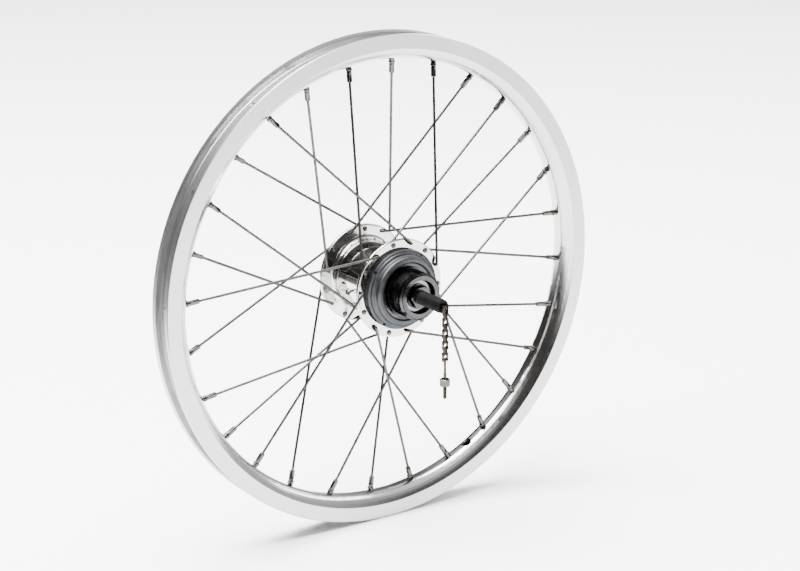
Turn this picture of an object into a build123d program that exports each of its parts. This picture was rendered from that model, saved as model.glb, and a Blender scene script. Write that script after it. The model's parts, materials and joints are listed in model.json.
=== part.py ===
"""Small bicycle rear wheel laced round a three-speed epicyclic hub gear.

Frame: the wheel's centre is the origin and it spins about Y.  The drive side (right-hand side
of the bicycle) faces -Y, the bicycle rolls towards +X and +Z is up.  All lengths are millimetres.
Angles named ..._CLOCK run clockwise from the top as seen from the drive side, in degrees.
At rest the gear cable is slack, so the hub stands in high gear.
"""
from build123d import *
import math
import os

os.makedirs("parts", exist_ok=True)

# ---------------------------------------------------------------- driving dimensions
# wheel
RIM_OUTER_R = 184.0
RIM_HALF_WIDTH = 11.0
BRAKE_TRACK_R = 173.0
SPOKE_BED_R = 165.0
SPOKE_BED_HALF = 3.4
BEAD_SEAT_R = 177.5
RIM_WALL = 1.5
SPOKES = 28
RIM_PITCH = 360.0 / SPOKES
RIM_FIRST_CLOCK = 3.5
VALVE_CLOCK = RIM_FIRST_CLOCK + 11.5 * RIM_PITCH
VALVE_HOLE_R = 4.25
SPOKE_R = 1.0
SPOKE_HEAD_R = 1.95
SPOKE_HEAD_THICK = 1.1
NIPPLE_R = 1.95
NIPPLE_COLLAR_R = 2.35
NIPPLE_LENGTH = 11.5
NIPPLE_HEAD_R = 2.8
NIPPLE_HEAD_LENGTH = 2.4
NIPPLE_FIT = 0.12
ACCESS_HOLE_R = 4.3

# hub shell
FLANGE_R = 37.0
FLANGE_HOLE_CIRCLE_R = 33.6
FLANGE_HOLE_R = 1.3
FLANGE_THICK = 2.8
FLANGE_PITCH = 720.0 / SPOKES
RIGHT_FLANGE_FACE = -24.9
LEFT_FLANGE_FACE = 26.3
RIGHT_HOLE_CLOCK = -9.5
LEFT_HOLE_CLOCK = 3.1
BARREL_R = 25.4
SHELL_BORE_R = 22.9
RIGHT_THREAD_R = 23.9
LEFT_THREAD_R = 21.9

# axle and bearings
AXLE_R = 5.15
AXLE_RIGHT_END = -79.5
AXLE_LEFT_END = 70.0
AXLE_HALF_FLATS = 4.8
RIGHT_UNDERCUT = -54.6
LEFT_UNDERCUT = 47.4
UNDERCUT_R = 4.7
INDICATOR_BORE_R = 2.3
BALL_R = 3.175
CONE_BALL_CIRCLE_R = 10.0
CONE_BALLS = 8
RACE_GAP = 0.075
RIGHT_BALLS_Y = -39.5
LEFT_BALLS_Y = 27.5
SMALL_BALL_R = 2.38
DRIVER_BALL_CIRCLE_R = 20.2
DRIVER_BALLS = 22
DRIVER_BALLS_Y = -31.0

# epicyclic train
MODULE = 0.66
SUN_TEETH = 20
PLANET_TEETH = 20
RING_TEETH = 60
PLANETS = 4
PRESSURE_ANGLE = math.radians(20)
BACKLASH = 0.10
PLANET_CIRCLE_R = MODULE * (SUN_TEETH + PLANET_TEETH) / 2
SUN_FROM, SUN_TO = -3.6, 8.2
PLANET_FROM, PLANET_TO = -3.6, 8.2
RING_TEETH_FROM, RING_TEETH_TO = -4.0, 8.6
RING_R = 22.4
PIN_R = 2.0
PIN_FROM, PIN_TO = -22.2, 11.6
CAGE_R = 17.4
CAGE_FROM, CAGE_TO = -8.0, 12.4
RUNNING_GAP = 0.05

# clutch and gear change
SHIFT_TRAVEL = 7.0
KEY_R = 1.6
KEY_Y = -17.0
KEY_HALF_LENGTH = 8.8
CLUTCH_ARM_R = 17.5
CLUTCH_ARM_HALF = 2.0
CLUTCH_FROM, CLUTCH_TO = -24.5, -20.6
ARMS = 4
ARM_CLOCK = 45.0 + 18.2

# driver
DRIVER_SEAT_R = 17.45
DRIVER_FRONT = -51.5
DRIVER_BACK = -22.6
DRIVER_BORE_R = CONE_BALL_CIRCLE_R + BALL_R + RACE_GAP
GROOVES = 3
GROOVE_CLOCK = -7.5
GROOVE_R = 2.3
GROOVE_CENTRE_R = 18.0

# pawls
RATCHET_TEETH = 12
RING_RATCHET_WALL_CLOCK = 25.3
PAWL_HALF = 1.0
PAWL_PIN_R = 0.8
RING_PAWL_PIVOT_R = 19.2
RING_PAWL_FROM, RING_PAWL_TO = -19.8, -14.2
RING_PAWL_CLOCKS = (10.0, 190.0)
LOW_PAWL_PIVOT_R = 15.9
LOW_PAWL_FROM, LOW_PAWL_TO = 13.9, 18.6
LOW_PAWL_CLOCKS = (60.0, 240.0)

# indicator chain
LINK_PITCH = 4.3
LINKS = 9
PLATE_THICK = 0.65
PLATE_GAP = 0.12
LINK_HALF_HEIGHT = 1.45
LINK_PIN_R = 0.55
CHAIN_DROP_Y = -82.2
CHAIN_TOP_Z = 0.0


# ---------------------------------------------------------------- helpers
def at_clock(radius, clock, y=0.0):
    """Point at a radius and clock angle in the plane of the given y."""
    turn = math.radians(clock)
    return Vector(radius * math.sin(turn), y, radius * math.cos(turn))


def turned(*profile, rounds=()):
    """Solid of revolution about Y from (radius, y) corners; rounds lists (corner, fillet radius)."""
    outline = make_face(Polyline(*profile, close=True))
    for (radius, y), fillet_r in rounds:
        corner = Vector(radius, y, 0)
        nearest = outline.vertices().sort_by(lambda vertex: (Vector(*vertex) - corner).length)[0]
        outline = fillet(nearest, fillet_r)
    return revolve(outline, Axis.Y)


def ring(outer_r, inner_r, y_from, y_to):
    """Plain round ring, or a disc where the inner radius is zero."""
    return turned((inner_r, y_from), (outer_r, y_from), (outer_r, y_to), (inner_r, y_to))


def prism(outline, y_from, y_to):
    """Extrude a sketch drawn in X and Z from one y to another."""
    return extrude(Plane.XZ.offset(-y_to) * outline, amount=y_to - y_from)


def rod(start, end, radius):
    """Round bar between two points."""
    start, end = Vector(start), Vector(end)
    along = Plane(origin=start, z_dir=end - start)
    return extrude(along * Circle(radius), amount=(end - start).length)


def around(shape, count, first=0.0, step=None):
    """Copies of a shape turned clockwise about Y, as a list."""
    step = 360.0 / count if step is None else step
    return [Rot(0, first + step * i, 0) * shape for i in range(count)]


def save(node, *shapes):
    """Write one sub-part; several shapes stay separate solids of the node."""
    solids = [solid for shape in shapes for solid in shape.solids()]
    export_step(solids[0] if len(solids) == 1 else Compound(children=solids), f"parts/{node}.step")


def involute(angle):
    return math.tan(angle) - angle


def gear_outline(teeth, root_r, tip_r, first_deg, spare):
    """Closed gear outline in X and Z with involute flanks; spare widens each tooth's half angle."""
    pitch_r = MODULE * teeth / 2
    base_r = pitch_r * math.cos(PRESSURE_ANGLE)
    half_at_pitch = math.pi / (2 * teeth) + spare / (2 * pitch_r)

    def half_angle(radius):
        rolled = math.acos(min(1.0, base_r / radius))
        return half_at_pitch + involute(PRESSURE_ANGLE) - involute(rolled)

    radii = [root_r, max(base_r, root_r + 0.02), pitch_r, (pitch_r + tip_r) / 2, tip_r]
    points = []
    for tooth in range(teeth):
        middle = math.radians(first_deg) + 2 * math.pi * tooth / teeth
        flank = [(radius, half_angle(radius)) for radius in radii]
        for radius, half in flank:
            points.append((radius * math.cos(middle - half), radius * math.sin(middle - half)))
        for radius, half in reversed(flank):
            points.append((radius * math.cos(middle + half), radius * math.sin(middle + half)))
    return make_face(Polyline(*points, close=True))


def ratchet_outline(tip_r, root_r, wall_clock):
    """Inner outline of a ratchet ring whose radial walls stop a pawl that pushes clockwise."""
    pitch = 360.0 / RATCHET_TEETH
    points = []
    for tooth in range(RATCHET_TEETH):
        wall = wall_clock + pitch * tooth
        for radius, clock in ((tip_r, wall), (root_r, wall + 0.72 * pitch), (root_r, wall + pitch)):
            turn = math.radians(clock)
            points.append((radius * math.sin(turn), radius * math.cos(turn)))
    return make_face(Polyline(*points, close=True))


def pawl(pivot_r, lift_deg, reach, y_from, y_to):
    """Pawl at the top of its carrier, its nose pointing clockwise and lifted outwards."""
    nose = Rectangle(reach, 2 * PAWL_HALF, align=(Align.MIN, Align.CENTER))
    heel = Circle(1.3)
    eye = Circle(PAWL_PIN_R + RUNNING_GAP)
    blade = Rot(0, 0, lift_deg) * (nose + heel) - eye
    return prism(Pos(0, pivot_r) * blade, y_from, y_to)


def pocket(inner_r, outer_r, back_deg, front_deg, y_from, y_to):
    """Sector that clears a pawl whose pivot stands at the top."""
    steps = [back_deg, (back_deg + front_deg) / 2, front_deg]
    outside = [at_clock(outer_r, clock) for clock in steps]
    inside = [at_clock(inner_r, clock) for clock in reversed(steps)]
    corners = [(point.X, point.Z) for point in outside + inside]
    return prism(make_face(Polyline(*corners, close=True)), y_from, y_to)


# ---------------------------------------------------------------- spokes, nipples and rim
OUTER_ELBOW_OUT = 2.7
INNER_ELBOW_IN = 1.3
LACING = (
    # node, flange middle y, side (-1 drive, +1 left), hole clock, rim clock, elbow outside
    ("drive_outer_spokes", -1, RIGHT_HOLE_CLOCK + 3 * FLANGE_PITCH, RIM_FIRST_CLOCK + RIM_PITCH, True),
    ("drive_inner_spokes", -1, RIGHT_HOLE_CLOCK, RIM_FIRST_CLOCK + 3 * RIM_PITCH, False),
    ("left_outer_spokes", 1, LEFT_HOLE_CLOCK + 2 * FLANGE_PITCH, RIM_FIRST_CLOCK, True),
    ("left_inner_spokes", 1, LEFT_HOLE_CLOCK - FLANGE_PITCH, RIM_FIRST_CLOCK + 2 * RIM_PITCH, False),
)
PER_FAMILY = SPOKES // 4


def spoke_line(side, hole_clock, rim_clock, elbow_outside):
    """Elbow point, head face y and the point where the spoke's line meets the rim's bed."""
    outer_face = RIGHT_FLANGE_FACE if side < 0 else LEFT_FLANGE_FACE
    inner_face = outer_face - side * FLANGE_THICK
    elbow_y = outer_face + side * OUTER_ELBOW_OUT if elbow_outside else inner_face - side * INNER_ELBOW_IN
    head_face = inner_face if elbow_outside else outer_face
    head_out = -side if elbow_outside else side
    elbow = at_clock(FLANGE_HOLE_CIRCLE_R, hole_clock, elbow_y)
    return elbow, head_face, head_out, at_clock(SPOKE_BED_R, rim_clock)


def spoke(side, hole_clock, rim_clock, elbow_outside):
    """Headed, elbowed spoke from its flange hole to inside its nipple."""
    elbow, head_face, head_out, seat = spoke_line(side, hole_clock, rim_clock, elbow_outside)
    along = (seat - elbow).normalized()
    head_start = at_clock(FLANGE_HOLE_CIRCLE_R, hole_clock, head_face)
    head_end = at_clock(FLANGE_HOLE_CIRCLE_R, hole_clock, head_face + head_out * SPOKE_HEAD_THICK)
    wire = rod(elbow, seat - along * 3.0, SPOKE_R)
    stub = rod(elbow, head_end, SPOKE_R)
    head = rod(head_start, head_end, SPOKE_HEAD_R)
    return wire + stub + Pos(*elbow) * Sphere(SPOKE_R) + head


def nipple(side, hole_clock, rim_clock, elbow_outside):
    """Threaded nut on the spoke's end: flatted shank, collar at the rim and head inside it."""
    elbow, _, _, seat = spoke_line(side, hole_clock, rim_clock, elbow_outside)
    along = (seat - elbow).normalized()
    shank = rod(seat - along * NIPPLE_LENGTH, seat + along * 2.6, NIPPLE_R)
    collar = rod(seat - along * 3.4, seat - along * 1.8, NIPPLE_COLLAR_R)
    head = rod(seat + along * 2.6, seat + along * (2.6 + NIPPLE_HEAD_LENGTH), NIPPLE_HEAD_R)
    thread = rod(seat - along * (NIPPLE_LENGTH + 1), seat + along * 6.0, SPOKE_R)
    return shank + collar + head - thread


def nipple_holes(side, hole_clock, rim_clock, elbow_outside):
    """Hole in the rim's bed and the larger access hole above it, on the spoke's line."""
    elbow, _, _, seat = spoke_line(side, hole_clock, rim_clock, elbow_outside)
    along = (seat - elbow).normalized()
    bed = rod(seat - along * 3.0, seat + along * 5.0, NIPPLE_R + NIPPLE_FIT)
    access = rod(seat + along * 6.5, seat + along * 18.0, ACCESS_HOLE_R)
    return [bed, access]


def make_lacing():
    nipples = {-1: [], 1: []}
    for node, side, hole_clock, rim_clock, outside in LACING:
        family = (side, hole_clock, rim_clock, outside)
        save(node, *around(spoke(*family), PER_FAMILY))
        nipples[side] += around(nipple(*family), PER_FAMILY)
    save("drive_nipples", *nipples[-1])
    save("left_nipples", *nipples[1])


def make_rim():
    """Double-walled rim: flat brake tracks, sloped inner faces, hooked tyre channel, hollow middle."""
    half = [
        (SPOKE_BED_R, SPOKE_BED_HALF),
        (SPOKE_BED_R + 2.0, SPOKE_BED_HALF + 3.4),
        (BRAKE_TRACK_R - 2.6, RIM_HALF_WIDTH - 1.6),
        (BRAKE_TRACK_R, RIM_HALF_WIDTH),
        (RIM_OUTER_R - 0.6, RIM_HALF_WIDTH),
        (RIM_OUTER_R, RIM_HALF_WIDTH - 0.6),
        (RIM_OUTER_R, RIM_HALF_WIDTH - 1.7),
        (RIM_OUTER_R - 1.4, RIM_HALF_WIDTH - 2.5),
        (RIM_OUTER_R - 2.6, RIM_HALF_WIDTH - 1.6),
        (BEAD_SEAT_R + 0.6, RIM_HALF_WIDTH - 1.6),
        (BEAD_SEAT_R, RIM_HALF_WIDTH - 2.6),
        (BEAD_SEAT_R - 0.4, RIM_HALF_WIDTH - 4.6),
        (BEAD_SEAT_R - 2.6, RIM_HALF_WIDTH - 6.2),
    ]
    mirrored = [(radius, -y) for radius, y in reversed(half)]
    hollow_half = [
        (SPOKE_BED_R + RIM_WALL, SPOKE_BED_HALF - 0.4),
        (SPOKE_BED_R + RIM_WALL + 2.0, SPOKE_BED_HALF + 2.2),
        (BRAKE_TRACK_R - 1.6, RIM_HALF_WIDTH - 3.2),
        (BRAKE_TRACK_R + 0.6, RIM_HALF_WIDTH - 2.4),
        (BEAD_SEAT_R - 2.4, RIM_HALF_WIDTH - 3.4),
        (BEAD_SEAT_R - 4.3, RIM_HALF_WIDTH - 6.0),
    ]
    hollow_mirrored = [(radius, -y) for radius, y in reversed(hollow_half)]
    rounds = []
    for corner, fillet_r in zip(half[:4], (6.0, 9.0, 14.0, 0.7)):
        rounds += [(corner, fillet_r), ((corner[0], -corner[1]), fillet_r)]
    body = turned(*half, *mirrored, rounds=rounds) - turned(*hollow_half, *hollow_mirrored)
    cutters = [rod(at_clock(SPOKE_BED_R - 4, VALVE_CLOCK), at_clock(RIM_OUTER_R, VALVE_CLOCK), VALVE_HOLE_R)]
    for _, side, hole_clock, rim_clock, outside in LACING:
        for hole in nipple_holes(side, hole_clock, rim_clock, outside):
            cutters += around(hole, PER_FAMILY)
    save("rim", body - cutters)


# ---------------------------------------------------------------- hub shell and its end fittings
def make_shell():
    right_inner = RIGHT_FLANGE_FACE + FLANGE_THICK
    left_inner = LEFT_FLANGE_FACE - FLANGE_THICK
    lip = 0.6
    corners = [
        (RIGHT_THREAD_R, RIGHT_FLANGE_FACE),
        (FLANGE_R, RIGHT_FLANGE_FACE),
        (FLANGE_R, right_inner),
        (BARREL_R + lip, right_inner),
        (BARREL_R + lip, right_inner + 5.0),
        (BARREL_R, right_inner + 5.0),
        (BARREL_R, left_inner - 5.0),
        (BARREL_R + lip, left_inner - 5.0),
        (BARREL_R + lip, left_inner),
        (FLANGE_R, left_inner),
        (FLANGE_R, LEFT_FLANGE_FACE),
        (LEFT_THREAD_R, LEFT_FLANGE_FACE),
        (LEFT_THREAD_R, 12.0),
        (SHELL_BORE_R, 11.0),
        (SHELL_BORE_R, -10.0),
        (RIGHT_THREAD_R, -11.0),
    ]
    rounds = [(corners[i], 1.0) for i in (1, 2, 9, 10)]
    rounds += [(corners[i], 3.4) for i in (3, 8)]
    rounds += [(corners[i], 0.28) for i in (4, 5, 6, 7)]
    body = turned(*corners, rounds=rounds)
    hole = ring(FLANGE_HOLE_R, 0, 0, 6)
    right = Pos(*at_clock(FLANGE_HOLE_CIRCLE_R, RIGHT_HOLE_CLOCK, RIGHT_FLANGE_FACE - 1)) * hole
    left = Pos(*at_clock(FLANGE_HOLE_CIRCLE_R, LEFT_HOLE_CLOCK, LEFT_FLANGE_FACE - 5)) * hole
    drilled = body - around(right, SPOKES // 2) - around(left, SPOKES // 2)
    save("hub_shell", drilled)


def make_ball_ring():
    """Screwed ring: drive-side ball track outside, ratchet for the gear-ring pawls inside."""
    track_r = DRIVER_BALL_CIRCLE_R + SMALL_BALL_R + RACE_GAP
    body = turned(
        (21.0, -12.0),
        (RIGHT_THREAD_R, -12.0),
        (RIGHT_THREAD_R, RIGHT_FLANGE_FACE),
        (29.9, RIGHT_FLANGE_FACE),
        (29.9, -28.2),
        (29.3, -28.8),
        (28.2, -29.0),
        (27.9, -30.3),
        (27.6, -30.6),
        (26.3, -30.9),
        (25.3, -32.0),
        (25.3, -32.8),
        (25.9, -33.4),
        (25.9, -34.6),
        (25.5, -35.4),
        (24.5, -36.1),
        (24.0, -36.2),
        (22.0, -36.2),
        (21.3, -35.6),
        (21.3, -33.9),
        (track_r, -33.4),
        (track_r, -28.5),
        (21.0, -28.5),
    )
    teeth = prism(ratchet_outline(21.0, 22.3, RING_RATCHET_WALL_CLOCK), -22.0, -12.0)
    notch = Pos(*at_clock(28.9, 35.0, -29.0)) * ring(1.3, 0, -1.0, 1.6)
    save("ball_ring", body - teeth - around(notch, 4))


def make_left_cup():
    body = turned(
        (18.6, 13.0),
        (LEFT_THREAD_R, 13.0),
        (LEFT_THREAD_R, LEFT_FLANGE_FACE),
        (25.0, LEFT_FLANGE_FACE),
        (25.0, 28.4),
        (23.6, 29.4),
        (18.4, 30.0),
        (17.0, 31.0),
        (16.6, 33.6),
        (DRIVER_BORE_R, 33.6),
        (DRIVER_BORE_R, LEFT_BALLS_Y - BALL_R - RACE_GAP),
        (9.8, LEFT_BALLS_Y - BALL_R - RACE_GAP),
        (9.8, 21.0),
        (18.6, 21.0),
    )
    teeth = prism(ratchet_outline(18.6, 19.8, 0.0), 13.0, 19.6)
    save("left_ball_cup", body - teeth)
    cap = turned((10.4, 31.4), (DRIVER_BORE_R, 31.4), (DRIVER_BORE_R, 33.2), (12.7, 33.2), (12.7, 32.0),
                 (10.4, 32.0))
    save("left_dust_cap", cap)


# ---------------------------------------------------------------- axle and what is fixed to it
def make_axle():
    end = 1.0
    bar = turned((0, AXLE_RIGHT_END), (AXLE_R - end, AXLE_RIGHT_END), (AXLE_R, AXLE_RIGHT_END + end),
                 (AXLE_R, AXLE_LEFT_END - end), (AXLE_R - end, AXLE_LEFT_END), (0, AXLE_LEFT_END))
    flats = []
    for y_from, y_to in ((AXLE_RIGHT_END, RIGHT_UNDERCUT), (LEFT_UNDERCUT, AXLE_LEFT_END)):
        for side in (1, -1):
            block = Box(4 * AXLE_R, y_to - y_from, 2)
            flats.append(Pos(0, (y_from + y_to) / 2, side * (AXLE_HALF_FLATS + 1)) * block)
        flats.append(ring(2 * AXLE_R, UNDERCUT_R, y_to, y_to + 1.0) if y_from < 0 else
                     ring(2 * AXLE_R, UNDERCUT_R, y_from - 1.0, y_from))
    bore = ring(INDICATOR_BORE_R, 0, AXLE_RIGHT_END, -12.0)
    mouth = turned((0, AXLE_RIGHT_END), (INDICATOR_BORE_R + 1.4, AXLE_RIGHT_END),
                   (INDICATOR_BORE_R, AXLE_RIGHT_END + 1.4), (0, AXLE_RIGHT_END + 1.4))
    slot_from = KEY_Y - SHIFT_TRAVEL - KEY_R - 0.4
    slot_to = KEY_Y + KEY_R + 0.4
    slot = Pos(0, (slot_from + slot_to) / 2, 0) * Box(4 * AXLE_R, slot_to - slot_from, 2 * KEY_R + 0.4)
    save("axle", bar - flats - bore - mouth - slot)
    sun = prism(gear_outline(SUN_TEETH, MODULE * (SUN_TEETH / 2 - 1.25), MODULE * (SUN_TEETH / 2 + 1), 0,
                             -BACKLASH), SUN_FROM, SUN_TO)
    save("sun_gear", sun - ring(AXLE_R, 0, SUN_FROM - 1, SUN_TO + 1))


def cone(balls_y, outward, neck_end, body_end, collar):
    """Bearing cone on the axle; outward is -1 on the drive side and +1 on the left."""
    neck_r, body_r = 6.6, 9.2
    reach = (BALL_R + RACE_GAP) / math.sqrt(2)
    track_y = balls_y + outward * (reach + (neck_r - (CONE_BALL_CIRCLE_R - reach)))
    corners = [(AXLE_R, neck_end), (neck_r, neck_end), (neck_r, track_y),
               (body_r, track_y + outward * (body_r - neck_r))]
    if collar:
        corners += [(body_r, body_end - outward * 2.6), (collar, body_end - outward * 2.6), (collar, body_end)]
    else:
        corners += [(body_r, body_end)]
    return turned(*corners, (AXLE_R, body_end))


def hex_nut(across_flats, y_from, y_to):
    """Thin nut with its corners turned off on both faces."""
    prism_r = across_flats / math.sqrt(3)
    crown = 0.9
    body = prism(RegularPolygon(prism_r, 6), y_from, y_to)
    limit = turned((0, y_from), (prism_r - crown, y_from), (prism_r + 0.1, y_from + crown * 0.6),
                   (prism_r + 0.1, y_to - crown * 0.6), (prism_r - crown, y_to), (0, y_to))
    return (body & limit) - ring(AXLE_R, 0, y_from - 1, y_to + 1)


def make_axle_fittings():
    save("right_cone", cone(RIGHT_BALLS_Y, -1, -36.0, -48.0, 11.4))
    save("right_lock_washer", ring(9.4, AXLE_R, -49.2, -48.0))
    save("right_locknut", hex_nut(15.0, -53.0, -49.2))
    save("left_cone", cone(LEFT_BALLS_Y, 1, 24.0, 38.0, 0))
    save("left_lock_washer", ring(9.4, AXLE_R, 38.0, 39.4))
    save("left_locknut", hex_nut(16.0, 39.4, 44.4))
    save("left_spacer", ring(8.0, AXLE_R, 44.4, 46.0))
    save("spring_cap", ring(8.8, AXLE_R, -36.0, -35.0))
    coils, wire_r, coil_r = 4, 0.5, 7.3
    spring_from, spring_to = -34.4, CLUTCH_FROM - 0.6
    helix = Helix((spring_to - spring_from) / coils, spring_to - spring_from, coil_r)
    section = Plane(origin=helix @ 0, z_dir=helix % 0) * Circle(wire_r)
    spring = sweep(section, path=helix, is_frenet=True)
    save("clutch_spring", Pos(0, spring_from, 0) * Rot(-90, 0, 0) * spring)


# ---------------------------------------------------------------- driver, clutch and key
def make_driver():
    chamfer = 0.9
    race_r = DRIVER_BALL_CIRCLE_R - SMALL_BALL_R - RACE_GAP
    body = turned(
        (DRIVER_BORE_R, DRIVER_FRONT),
        (DRIVER_SEAT_R - 1.5, DRIVER_FRONT),
        (DRIVER_SEAT_R, DRIVER_FRONT + chamfer),
        (DRIVER_SEAT_R, -49.9),
        (16.3, -49.9),
        (16.3, -48.5),
        (DRIVER_SEAT_R, -48.5),
        (DRIVER_SEAT_R, -37.2),
        (18.6, -37.2),
        (18.6, -34.8),
        (20.9, -34.8),
        (20.9, -34.1),
        (race_r, -33.6),
        (race_r, -28.2),
        (16.9, -28.2),
        (16.9, DRIVER_BACK),
        (13.6, DRIVER_BACK),
        (13.6, -33.0),
        (9.8, -33.0),
        (9.8, RIGHT_BALLS_Y + BALL_R + RACE_GAP),
        (DRIVER_BORE_R, RIGHT_BALLS_Y + BALL_R + RACE_GAP),
    )
    groove = Pos(*at_clock(GROOVE_CENTRE_R, GROOVE_CLOCK)) * ring(GROOVE_R, 0, DRIVER_FRONT - 1, -38.4)
    slot_half = CLUTCH_ARM_HALF + 0.15
    slot = prism(Pos(0, 16) * Rectangle(2 * slot_half, 8), -32.9, DRIVER_BACK + 1)
    slots = around(slot, ARMS, ARM_CLOCK)
    save("driver", body - around(groove, GROOVES) - slots)
    cap = turned((DRIVER_BORE_R, -52.2), (15.7, -52.2), (15.7, DRIVER_FRONT), (DRIVER_BORE_R, DRIVER_FRONT))
    lip = ring(DRIVER_BORE_R, DRIVER_BORE_R - 0.7, -52.2, -49.0)
    save("driver_dust_cap", cap + lip)


def make_clutch():
    hub = ring(9.6, AXLE_R + 0.25, CLUTCH_FROM, CLUTCH_TO)
    arm_length = CLUTCH_ARM_R - 9.0
    arm = prism(Pos(0, 9.0 + arm_length / 2) * Rectangle(2 * CLUTCH_ARM_HALF, arm_length), CLUTCH_FROM, CLUTCH_TO)
    limit = ring(CLUTCH_ARM_R, 0, CLUTCH_FROM, CLUTCH_TO)
    save("clutch", (hub + around(arm, ARMS, ARM_CLOCK)) & limit)


def make_indicator():
    """Cross key through the axle's slot, its rod in the bore and the ring that pushes the clutch."""
    key = rod((-KEY_HALF_LENGTH, KEY_Y, 0), (KEY_HALF_LENGTH, KEY_Y, 0), KEY_R)
    tapped = rod((0, KEY_Y - KEY_R - 1, 0), (0, KEY_Y + 0.6, 0), 0.9)
    save("axle_key", key - tapped)
    save("thrust_ring", ring(9.2, AXLE_R + 0.15, CLUTCH_TO + 0.1, KEY_Y - KEY_R))
    stem = rod((0, KEY_Y + 0.6, 0), (0, CHAIN_DROP_Y + 3.4, 0), 0.9)
    thick = rod((0, KEY_Y - KEY_R - 1.5, 0), (0, CHAIN_DROP_Y + 3.4, 0), 1.5)
    eye_plate = Box(1.1, 4.6, 2.6)
    eye = Pos(0, CHAIN_DROP_Y + 1.3, CHAIN_TOP_Z) * eye_plate
    pin_hole = rod((-3, CHAIN_DROP_Y, CHAIN_TOP_Z), (3, CHAIN_DROP_Y, CHAIN_TOP_Z), LINK_PIN_R + RUNNING_GAP)
    save("indicator_rod", stem + thick + eye - pin_hole)


# ---------------------------------------------------------------- planet cage, planets and gear ring
def make_cage():
    drum = turned((8.2, CAGE_FROM), (CAGE_R, CAGE_FROM), (CAGE_R, CAGE_TO), (18.0, CAGE_TO), (18.0, 19.2),
                  (8.2, 19.2))
    window = Pos(*at_clock(PLANET_CIRCLE_R, 45.0)) * ring(7.65, 0, PLANET_FROM - 0.3, PLANET_TO + 0.3)
    pin_hole = Pos(*at_clock(PLANET_CIRCLE_R, 45.0)) * ring(PIN_R, 0, CAGE_FROM - 1, PIN_TO)
    cutters = around(window, PLANETS) + around(pin_hole, PLANETS)
    for clock in LOW_PAWL_CLOCKS:
        cutters.append(Rot(0, clock, 0) * pocket(13.4, 19.0, -7.5, 24.0, LOW_PAWL_FROM - 0.2, LOW_PAWL_TO + 0.2))
        cutters.append(Pos(*at_clock(LOW_PAWL_PIVOT_R, clock)) * ring(PAWL_PIN_R, 0, 13.0, 19.2))
    save("planet_cage", drum - cutters)
    pin = Pos(*at_clock(PLANET_CIRCLE_R, 45.0)) * ring(PIN_R, 0, PIN_FROM, PIN_TO)
    save("pinion_pins", *around(pin, PLANETS))
    pin = Pos(*at_clock(LOW_PAWL_PIVOT_R, LOW_PAWL_CLOCKS[0])) * ring(PAWL_PIN_R, 0, 13.0, 19.2)
    save("low_pawl_pins", *around(pin, len(LOW_PAWL_CLOCKS)))
    for number, clock in enumerate(LOW_PAWL_CLOCKS, 1):
        blade = pawl(LOW_PAWL_PIVOT_R, 2.0, 5.3, LOW_PAWL_FROM, LOW_PAWL_TO)
        save(f"low_gear_pawl_{number}", Rot(0, clock, 0) * blade)


def make_planets():
    outline = gear_outline(PLANET_TEETH, MODULE * (PLANET_TEETH / 2 - 1.25), MODULE * (PLANET_TEETH / 2 + 1),
                           180.0 / PLANET_TEETH, -BACKLASH)
    planet = prism(outline, PLANET_FROM, PLANET_TO) - ring(PIN_R + RUNNING_GAP, 0, PLANET_FROM - 1, PLANET_TO + 1)
    for number in range(1, PLANETS + 1):
        save(f"planet_gear_{number}", Pos(*at_clock(PLANET_CIRCLE_R, 45.0 + 90.0 * (number - 1))) * planet)


def make_gear_ring():
    """Annulus: internal teeth on the left, clutch dogs in the middle, pawl carrier on the right."""
    body = turned(
        (17.9, -21.6),
        (20.6, -21.6),
        (20.6, -11.0),
        (RING_R, -10.0),
        (RING_R, RING_TEETH_TO),
        (18.4, RING_TEETH_TO),
        (18.4, -12.0),
        (17.9, -12.0),
    )
    spaces = gear_outline(RING_TEETH, MODULE * (RING_TEETH / 2 - 0.9), MODULE * (RING_TEETH / 2 + 1.25),
                          180.0 / RING_TEETH, BACKLASH)
    cutters = [prism(spaces, RING_TEETH_FROM, RING_TEETH_TO + 1), ring(20.2, 0, -9.0, RING_TEETH_FROM)]
    for clock in RING_PAWL_CLOCKS:
        cutters.append(Rot(0, clock, 0) * pocket(16.0, 22.0, -5.6, 21.0, RING_PAWL_FROM - 0.2, RING_PAWL_TO + 0.2))
        cutters.append(Pos(*at_clock(RING_PAWL_PIVOT_R, clock)) * ring(PAWL_PIN_R, 0, -21.6, -12.4))
    save("gear_ring", body - cutters)
    pin = Pos(*at_clock(RING_PAWL_PIVOT_R, RING_PAWL_CLOCKS[0])) * ring(PAWL_PIN_R, 0, -21.6, -12.4)
    save("ring_pawl_pins", *around(pin, len(RING_PAWL_CLOCKS)))
    for number, clock in enumerate(RING_PAWL_CLOCKS, 1):
        blade = pawl(RING_PAWL_PIVOT_R, 16.0, 5.5, RING_PAWL_FROM, RING_PAWL_TO)
        save(f"ring_pawl_{number}", Rot(0, clock, 0) * blade)


# ---------------------------------------------------------------- ball bearings
def make_bearing(name, circle_r, ball_r, count, y, cage_shift, half_width, half_thick):
    """Balls in one node and their pressed retainer in another."""
    ball = Pos(*at_clock(circle_r, 0, y)) * Sphere(ball_r)
    save(f"{name}_balls", *around(ball, count))
    seat_r = ball_r + RUNNING_GAP
    band = ring(circle_r + half_width, circle_r - half_width, y + cage_shift - half_thick,
                y + cage_shift + half_thick)
    clearance = Pos(*at_clock(circle_r, 0, y)) * Sphere(seat_r)
    save(f"{name}_retainer", band - around(clearance, count))


# ---------------------------------------------------------------- indicator chain
def link_plate(x, z_top):
    """Round-ended side plate whose pins stand one pitch apart."""
    outline = SlotCenterToCenter(LINK_PITCH, 2 * LINK_HALF_HEIGHT, rotation=90)
    slab = extrude(Plane.YZ.offset(x - PLATE_THICK / 2) * outline, amount=PLATE_THICK)
    return Pos(0, CHAIN_DROP_Y, z_top - LINK_PITCH / 2) * slab


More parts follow.
